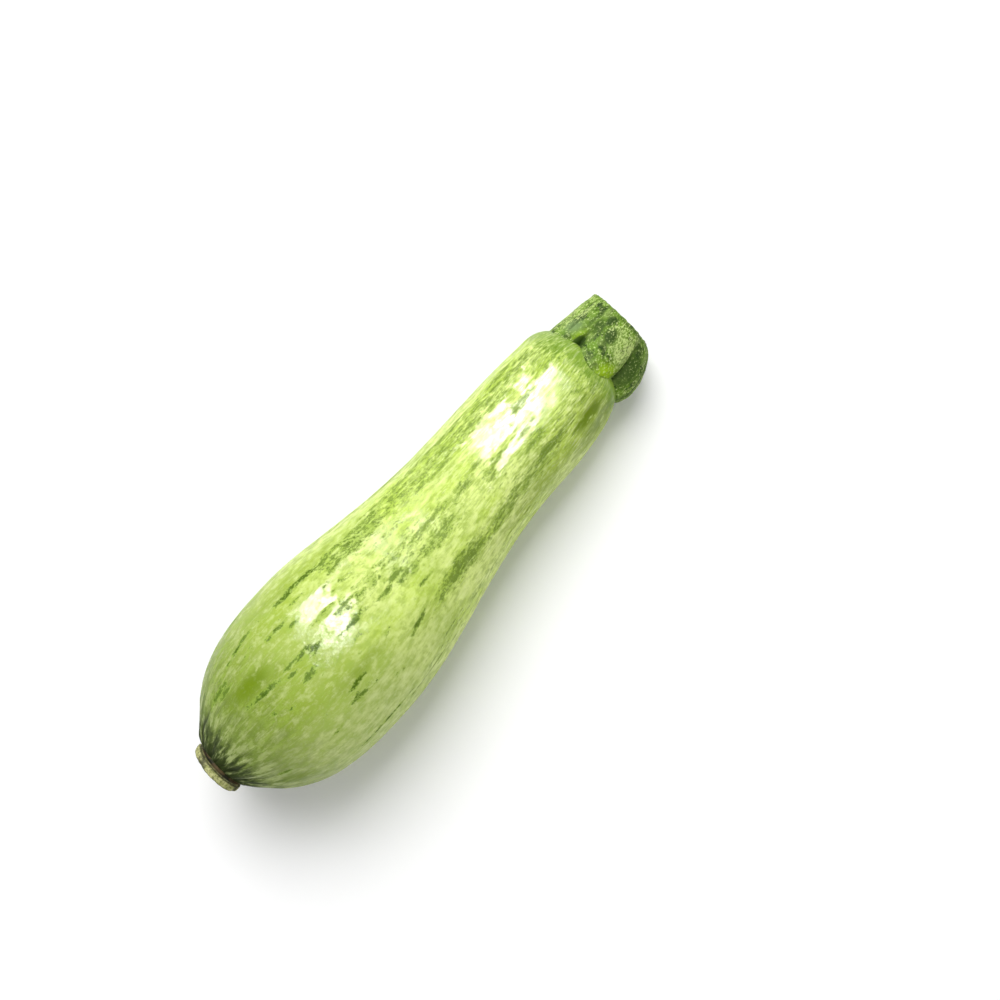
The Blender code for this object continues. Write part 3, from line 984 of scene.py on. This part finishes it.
class Material:
    """A material's node tree, with short names for the nodes that it's made of."""

    def __init__(self, name):
        self.material = bpy.data.materials.new(name)
        self.material.use_nodes = True
        self.tree = self.material.node_tree
        self.shader = self.tree.nodes["Principled BSDF"]

    def add(self, kind, inputs, **settings):
        node = self.tree.nodes.new(kind)
        for key, value in settings.items():
            setattr(node, key, value)
        for key, value in inputs.items():
            self.feed(node.inputs[key], value)
        return node

    def feed(self, socket, value):
        if isinstance(value, bpy.types.NodeSocket):
            self.tree.links.new(value, socket)
        else:
            socket.default_value = value

    def attribute(self, name, output="Fac"):
        return self.add("ShaderNodeAttribute", {}, attribute_name=name).outputs[output]

    def in_place(self):
        """The place on the object, in millimetres."""
        return self.scaled(self.add("ShaderNodeTexCoord", {}).outputs["Object"], MM, MM)

    def scaled(self, vector, across, along):
        """The vector measured in these units, across and along the piece."""
        inputs = {"Vector": vector, "Scale": (1 / across, 1 / across, 1 / along)}
        return self.add("ShaderNodeMapping", inputs).outputs["Vector"]

    def noise(self, vector, across, along, detail=2.0, roughness=0.5, distortion=0.0):
        """Noise whose grains are this many millimetres across and along."""
        inputs = {
            "Vector": self.scaled(vector, across, along),
            "Scale": 1.0,
            "Detail": detail,
            "Roughness": roughness,
            "Distortion": distortion,
        }
        return self.add("ShaderNodeTexNoise", inputs).outputs["Fac"]

    def cells(self, vector, size):
        """The distance from the middle of the nearest of many cells."""
        inputs = {"Vector": self.scaled(vector, size, size), "Scale": 1.0}
        return self.add("ShaderNodeTexVoronoi", inputs).outputs["Distance"]

    def rise(self, value, start, end):
        """0 at start, 1 at end and a smooth change between them."""
        inputs = {"Value": value, "From Min": start, "From Max": end}
        node = self.add("ShaderNodeMapRange", inputs, interpolation_type="SMOOTHSTEP")
        return node.outputs["Result"]

    def maths(self, operation, first, second):
        node = self.add("ShaderNodeMath", {}, operation=operation)
        for socket, value in zip(node.inputs, (first, second)):
            self.feed(socket, value)
        return node.outputs["Value"]

    def times(self, first, second):
        return self.maths("MULTIPLY", first, second)

    def plus(self, first, second):
        return self.maths("ADD", first, second)

    def swing(self, noise, size):
        """The noise, which keeps round a half, moved to swing round nought by this size."""
        return self.times(self.plus(noise, -0.5), size)

    def mixed(self, share, first, second):
        node = self.add("ShaderNodeMix", {}, data_type="RGBA")
        for index, value in ((0, share), (6, first), (7, second)):
            self.feed(node.inputs[index], value)
        return node.outputs[2]

    def layered(self, colour, *layers):
        """The colour under layers of (tint, where it lies as a share, strength)."""
        for tint, share, strength in layers:
            colour = self.mixed(self.times(share, strength), colour, tint)
        return colour

    def bumped(self, height, distance):
        """Roughens the surface by this height pattern, with a full rise of so many millimetres."""
        node = self.add("ShaderNodeBump", {"Height": height, "Distance": distance * MM})
        for socket in ("Normal", "Coat Normal"):
            self.feed(self.shader.inputs[socket], node.outputs["Normal"])

    def finish(self, colour, roughness, coat=0.0, coat_roughness=0.1, specular=0.5):
        self.feed(self.shader.inputs["Base Color"], colour)
        self.feed(self.shader.inputs["Roughness"], roughness)
        self.feed(self.shader.inputs["Coat Weight"], coat)
        self.shader.inputs["Coat Roughness"].default_value = coat_roughness
        self.shader.inputs["Specular IOR Level"].default_value = specular
        return self.material


# Skin of the fruit

def skin_patterns(m):
    """The places and noises that the skin's colour, relief and wax share."""
    straight = m.attribute("straight", "Vector")
    place = m.in_place()
    parts = m.add("ShaderNodeSeparateXYZ", {"Vector": straight}).outputs
    nose = m.noise(straight, *NOSE_MOTTLE)
    return SimpleNamespace(
        along=parts["Z"],
        aside=parts["X"],
        neck=m.rise(parts["Z"], *NECK_BLEND),
        from_nose=m.plus(parts["Z"], m.swing(nose, NOSE_RAGGEDNESS)),
        nose=nose,
        drift=m.noise(straight, *SKIN_DRIFT),
        clouds=m.noise(place, *SKIN_CLOUDS),
        mottle=m.noise(straight, *SKIN_MOTTLE),
        fibres=m.noise(straight, *SKIN_FIBRES),
        crumbs=m.noise(straight, *SKIN_CRUMBS),
        erosion=m.noise(straight, *FLECK_EROSION),
        greying=m.noise(place, *FLECK_GREYING),
        wax=m.noise(straight, *SKIN_WAX),
    )


def towards_neck(m, skin, belly, change):
    """A size that is the first one on the belly and changes by the second along the neck."""
    return m.plus(belly, m.times(skin.neck, change))


def skin_ground(m, skin):
    """Broad drifts of pale green, an olive flower end, a dusty flank, and blotches over them."""
    dusty = m.times(m.rise(skin.aside, *DUST_ASIDE), m.rise(skin.along, *DUST_REACH))
    return m.layered(
        m.mixed(m.rise(skin.drift, 0.40, 0.62), PALE_SKIN, LIME_SKIN),
        (OLIVE_SKIN, m.rise(skin.clouds, 0.44, 0.66), 0.5),
        (NOSE_OLIVE, m.rise(skin.along, *OLIVE_REACH), 0.92),
        (DUSTY_GREEN, dusty, 0.55),
        (OLIVE_SKIN, m.rise(skin.mottle, 0.46, 0.63), 0.6),
        (SPECK_AND_GLINT_PALE, m.rise(skin.mottle, 0.54, 0.30), 0.3),
        (NOSE_GREY, m.rise(skin.from_nose, *GREY_REACH), 0.85),
    )


def with_fibres(m, skin, colour):
    """Fine darker and paler fibres along the fruit, plainest on the neck."""
    strength = towards_neck(m, skin, *FIBRE_STRENGTH)
    return m.layered(
        colour,
        (LINE_GREEN, m.rise(skin.fibres, 0.52, 0.64), strength),
        (SPECK_AND_GLINT_PALE, m.rise(skin.fibres, 0.48, 0.36), strength),
    )


def fleck_levels(m, skin):
    """How surely the skin is part of a fleck there, eroded by coarse noise and then by fine."""
    flecks = m.plus(m.attribute("flecks"), towards_neck(m, skin, *FLECK_SCATTER))
    coarse = m.plus(flecks, m.swing(skin.erosion, COARSE_EROSION))
    crumbly = m.swing(skin.crumbs, towards_neck(m, skin, *CRUMBLY_EROSION))
    stringy = m.swing(skin.fibres, towards_neck(m, skin, *STRINGY_EROSION))
    return coarse, m.plus(coarse, m.plus(crumbly, stringy))


def with_flecks(m, skin, colour, coarse, fine):
    """Flecks with soft borders and grey-green to dark green middles, fainter along the neck."""
    fainter = m.plus(1.0, m.times(m.rise(skin.along, *FAINT_REACH), FAINT_CHANGE))
    depth = m.plus(0.55, m.times(m.rise(skin.greying, 0.42, 0.58), 0.4))
    return m.layered(
        colour,
        (FLECK_SOFT, m.rise(coarse, 0.28, 0.62), 0.6),
        (FLECK_GREY, m.times(m.rise(fine, 0.52, 0.80), 0.8), fainter),
        (FLECK_GREEN, m.times(m.rise(fine, 0.66, 1.0), depth), m.times(fainter, fainter)),
    )


def with_local_marks(m, skin, colour):
    """Pale specks, deeper green, painted shade and glints, dark round the scar, a greener shoulder.
    """
    lush = m.times(m.attribute("lush"), m.rise(skin.mottle, 0.22, 0.5))
    # Painted highlights on the wrinkles near the flower end
    glints = m.times(m.rise(skin.nose, 0.50, 0.40), m.rise(skin.along, *GLINT_REACH))
    shoulder = m.plus(m.attribute("shoulder"), m.swing(skin.erosion, 2.2))
    return m.layered(
        colour,
        (SPECK_AND_GLINT_PALE, m.rise(skin.crumbs, 0.56, 0.68), towards_neck(m, skin, *SPECK_STRENGTH)),
        # Deeper green, and painted shade where the patches lie on the lower side by the shoulder
        (LUSH_AND_SHADE_GREEN, lush, 0.85),
        # Painted highlight: pale glints on the wrinkles
        (SPECK_AND_GLINT_PALE, glints, 0.28),
        # Painted shade in the creases round the flower scar
        (NOSE_DARK, m.rise(m.attribute("creases"), 0.2, 0.7), 0.8),
        (NOSE_DARK, m.rise(skin.from_nose, *DARK_REACH), 0.9),
        (SHOULDER_GREEN, m.rise(shoulder, 0.35, 1.05), 0.66),
    )


def skin_relief_pattern(m, skin):
    """The height of the finest relief, lower on the neck."""
    grains = m.plus(m.times(skin.crumbs, 0.35), m.times(skin.mottle, 0.8))
    height = m.plus(m.times(skin.fibres, 0.4), grains)
    return m.times(height, towards_neck(m, skin, *RELIEF_STRENGTH))


def skin_wax(m, skin, fine):
    """The coat of wax: patchy, rubbed off in places, none by the scar and dull on the flecks."""
    patchy = m.plus(0.12, m.times(m.rise(skin.wax, 0.40, 0.52), 0.30))
    patchy = m.times(patchy, m.rise(skin.from_nose, *WAX_REACH))
    rubbed = m.plus(m.attribute("dull"), m.swing(skin.erosion, 1.2))
    patchy = m.times(patchy, m.rise(rubbed, 0.75, 0.25))
    return m.times(patchy, m.plus(1.0, m.times(m.rise(fine, 0.35, 0.8), -0.8)))


def skin_material():
    """Pale green waxy skin with long fine fibres, eroded green flecks in rows and pale specks."""
    m = Material("zucchini_skin")
    skin = skin_patterns(m)
    coarse, fine = fleck_levels(m, skin)
    colour = with_fibres(m, skin, skin_ground(m, skin))
    colour = with_flecks(m, skin, colour, coarse, fine)
    colour = with_local_marks(m, skin, colour)
    m.bumped(skin_relief_pattern(m, skin), SKIN_BUMP)
    roughness = m.plus(0.55, m.times(skin.crumbs, 0.2))
    wax = skin_wax(m, skin, fine)
    return m.finish(colour, roughness, coat=wax, coat_roughness=0.035, specular=0.05)


# Skin of the stem

def stem_patterns(m):
    """The fields and noises that the stem's colour and relief share."""
    straight = m.attribute("straight", "Vector")
    place = m.in_place()
    return SimpleNamespace(
        mottle=m.noise(straight, *STEM_MOTTLE),
        glints=m.noise(straight, *STEM_GLINTS),
        clouds=m.noise(place, *STEM_CLOUDS),
        pith=m.noise(place, *CUT_PITH),
        smooth=m.attribute("smooth"),
        dark=m.attribute("dark"),
    )


def stem_ground(m, stem):
    """Two greens with greyer clouds, lime toes, a smooth patch and painted light on the ridges."""
    ridge = m.attribute("ridge")
    return m.layered(
        m.mixed(m.rise(stem.mottle, 0.40, 0.56), STEM_DEEP, STEM_GREEN),
        (STEM_GREY, m.rise(stem.clouds, 0.44, 0.62), 0.8),
        (STEM_LIME, m.attribute("lime"), m.rise(stem.mottle, 0.3, 0.5)),
        (STEM_SMOOTH, stem.smooth, 0.9),
        # Painted shade between the stem's ridges and a painted highlight along their tops
        (STEM_DEEP, m.rise(ridge, 0.35, -0.1), 0.6),
        (STEM_PALE, m.rise(ridge, 0.80, 1.15), 0.5),
    )


def with_stem_marks(m, stem, colour):
    """Dark patches, pale specks between them, and painted shade in the creases."""
    # Dark patches, some of them painted shade in the groove and at the foot
    dark = m.plus(stem.dark, m.swing(stem.mottle, 1.2))
    pale = m.plus(m.attribute("pale"), m.times(m.plus(stem.dark, stem.smooth), -0.6))
    # Pale specks, partly the stem's own and partly painted glints
    specks = m.plus(m.plus(stem.glints, m.times(pale, 0.12)), -0.05)
    return m.layered(
        colour,
        (STEM_DEEP, m.rise(dark, 0.30, 0.75), 0.85),
        (STEM_PALE, m.rise(specks, 0.46, 0.62), 0.75),
        # Painted shade in the stem's creases
        (STEM_DEEP, m.rise(m.attribute("crease"), 0.5, 1.0), 0.8),
    )


def with_stem_cut(m, stem, colour):
    """The creamy green face of the cut, with a darker rim."""
    cut = m.mixed(m.rise(stem.pith, 0.4, 0.6), CUT_CREAM, CUT_GREEN)
    cut = m.mixed(m.rise(m.attribute("radius"), *CUT_RIM), cut, STEM_GREEN)
    return m.mixed(m.rise(m.attribute("side"), *CUT_EDGE), colour, cut)


def stem_material():
    """Dark green, ridged and mottled with pale specks; the cut is a creamy green."""
    m = Material("stem_skin")
    stem = stem_patterns(m)
    colour = with_stem_marks(m, stem, stem_ground(m, stem))
    colour = with_stem_cut(m, stem, colour)
    m.bumped(m.plus(stem.glints, m.times(stem.mottle, 0.6)), STEM_BUMP)
    roughness = m.plus(0.5, m.times(stem.glints, 0.3))
    return m.finish(colour, roughness, coat=0.03, coat_roughness=0.3, specular=0.08)


# Cork of the flower scar

def cork_ground(m, place, grain):
    """Tan and green cork with dark and pale specks."""
    specks = m.noise(place, *CORK_SPECKS)
    return m.layered(
        m.mixed(m.rise(grain, 0.40, 0.64), CORK_TAN, CORK_GREEN),
        (CORK_DARK, m.rise(specks, 0.50, 0.58), 0.62),
        (CORK_PALE, m.rise(specks, 0.46, 0.36), 0.5),
    )


def with_cork_parts(m, place, colour, radius, face):
    """The pitted face, darker in the middle and along its edge, and the dark brown neck behind."""
    pits = m.times(m.rise(m.cells(place, CORK_PIT_SIZE), 0.4, 0.1), face)
    edge = m.times(m.rise(radius, *CORK_EDGE_OUT), m.rise(radius, *CORK_EDGE_IN))
    behind = m.times(m.rise(radius, *CORK_NECK), m.maths("SUBTRACT", 1.0, face))
    stain_and_shade = m.rise(m.noise(place, *CORK_STAIN_AND_SHADE), 0.42, 0.56)
    return m.layered(
        colour,
        (CORK_DARK, pits, 0.7),
        (CORK_DARK, m.rise(radius, *CORK_MIDDLE), 0.8),
        (CORK_DARK, edge, 0.8),
        # The neck behind the disc: partly its own brown, partly painted shade under the overhanging
        # disc
        (m.mixed(stain_and_shade, CORK_DARK, CORK_BROWN), behind, 0.95),
    )


def cork_material():
    """Dry, tan and corky: a dark-edged disc on a brown neck with painted shade, and a darker, pitted
    middle.
    """
    m = Material("scar_cork")
    place = m.in_place()
    grain = m.noise(place, *CORK_GRAIN)
    ground = cork_ground(m, place, grain)
    colour = with_cork_parts(m, place, ground, m.attribute("radius"), m.attribute("face"))
    threads = m.noise(m.attribute("straight", "Vector"), *CORK_THREADS)
    m.bumped(m.plus(m.times(grain, 0.8), m.times(threads, 0.5)), CORK_BUMP)
    return m.finish(colour, m.plus(0.65, m.times(grain, 0.25)), specular=0.2)


# The studio

def facing(back, right):
    """The turn of a camera or lamp whose back and right-hand side point these ways."""
    up = back.cross(right)
    return Matrix((right, up, back)).transposed().to_4x4()


def make_camera():
    data = bpy.data.cameras.new("camera")
    data.lens = CAMERA_LENS
    data.sensor_width = CAMERA_SENSOR
    data.clip_start, data.clip_end = CAMERA_CLIP
    camera = bpy.data.objects.new("camera", data)
    right = Vector((math.cos(CAMERA_AZIMUTH), math.sin(CAMERA_AZIMUTH), 0.0))
    back = Vector((
        math.sin(CAMERA_AZIMUTH) * math.cos(CAMERA_ELEVATION),
        -math.cos(CAMERA_AZIMUTH) * math.cos(CAMERA_ELEVATION),
        math.sin(CAMERA_ELEVATION),
    ))
    camera.matrix_world = Matrix.Translation(CAMERA_PLACE) @ facing(back, right)
    bpy.context.scene.collection.objects.link(camera)
    bpy.context.scene.camera = camera


def make_softbox(name, towards, distance, size, power):
    """An area light that hangs this way from the origin and faces it."""
    data = bpy.data.lights.new(name, "AREA")
    data.shape = "RECTANGLE"
    data.size, data.size_y = size
    data.energy = power
    light = bpy.data.objects.new(name, data)
    back = towards.normalized()
    right = Vector((1.0, 0.0, -back.x / back.z)).normalized()
    light.matrix_world = Matrix.Translation(back * distance) @ facing(back, right)
    bpy.context.scene.collection.objects.link(light)
    return light


def make_lights():
    key = make_softbox("key", KEY_TOWARDS, KEY_DISTANCE, KEY_SIZE, KEY_POWER)
    key.visible_glossy = False
    gloss = make_softbox("gloss", GLOSS_TOWARDS, GLOSS_DISTANCE, GLOSS_SIZE, GLOSS_POWER)
    gloss.matrix_world = gloss.matrix_world @ Matrix.Rotation(GLOSS_ROLL, 4, "Z")
    gloss.visible_diffuse = False


def make_sky():
    """Even white light from all round, shown without a film-like curve."""
    world = bpy.data.worlds.new("white_room")
    world.use_nodes = True
    background = world.node_tree.nodes["Background"]
    background.inputs["Color"].default_value = (1.0, 1.0, 1.0, 1.0)
    background.inputs["Strength"].default_value = SKY_STRENGTH
    bpy.context.scene.world = world
    bpy.context.scene.view_settings.view_transform = "Standard"


def paper_material():
    m = Material("white_paper")
    grain = m.noise(m.in_place(), *PAPER_GRAIN)
    return m.finish(m.mixed(grain, PAPER_WHITE, PAPER_BRIGHT), 0.9, specular=0.0)


def make_floor(material):
    """A sheet of white paper under the zucchini."""
    half = FLOOR_SIZE / 2
    corners = [(-half, -half, 0), (half, -half, 0), (half, half, 0), (-half, half, 0)]
    mesh = bpy.data.meshes.new("floor")
    mesh.from_pydata(corners, [], [(0, 1, 2, 3)])
    mesh.materials.append(material)
    floor = bpy.data.objects.new("floor", mesh)
    bpy.context.scene.collection.objects.link(floor)


def stand_in_for(piece, node):
    """Shows the piece, on the part's one body, for this solid."""
    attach(piece, "root")
    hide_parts(node)


make_camera()
make_lights()
make_sky()
make_floor(paper_material())
stand_in_for(make_fruit(skin_material()), "fruit_body")
stand_in_for(make_stem(stem_material()), "stem_stub")
stand_in_for(make_scar(cork_material()), "blossom_scar")
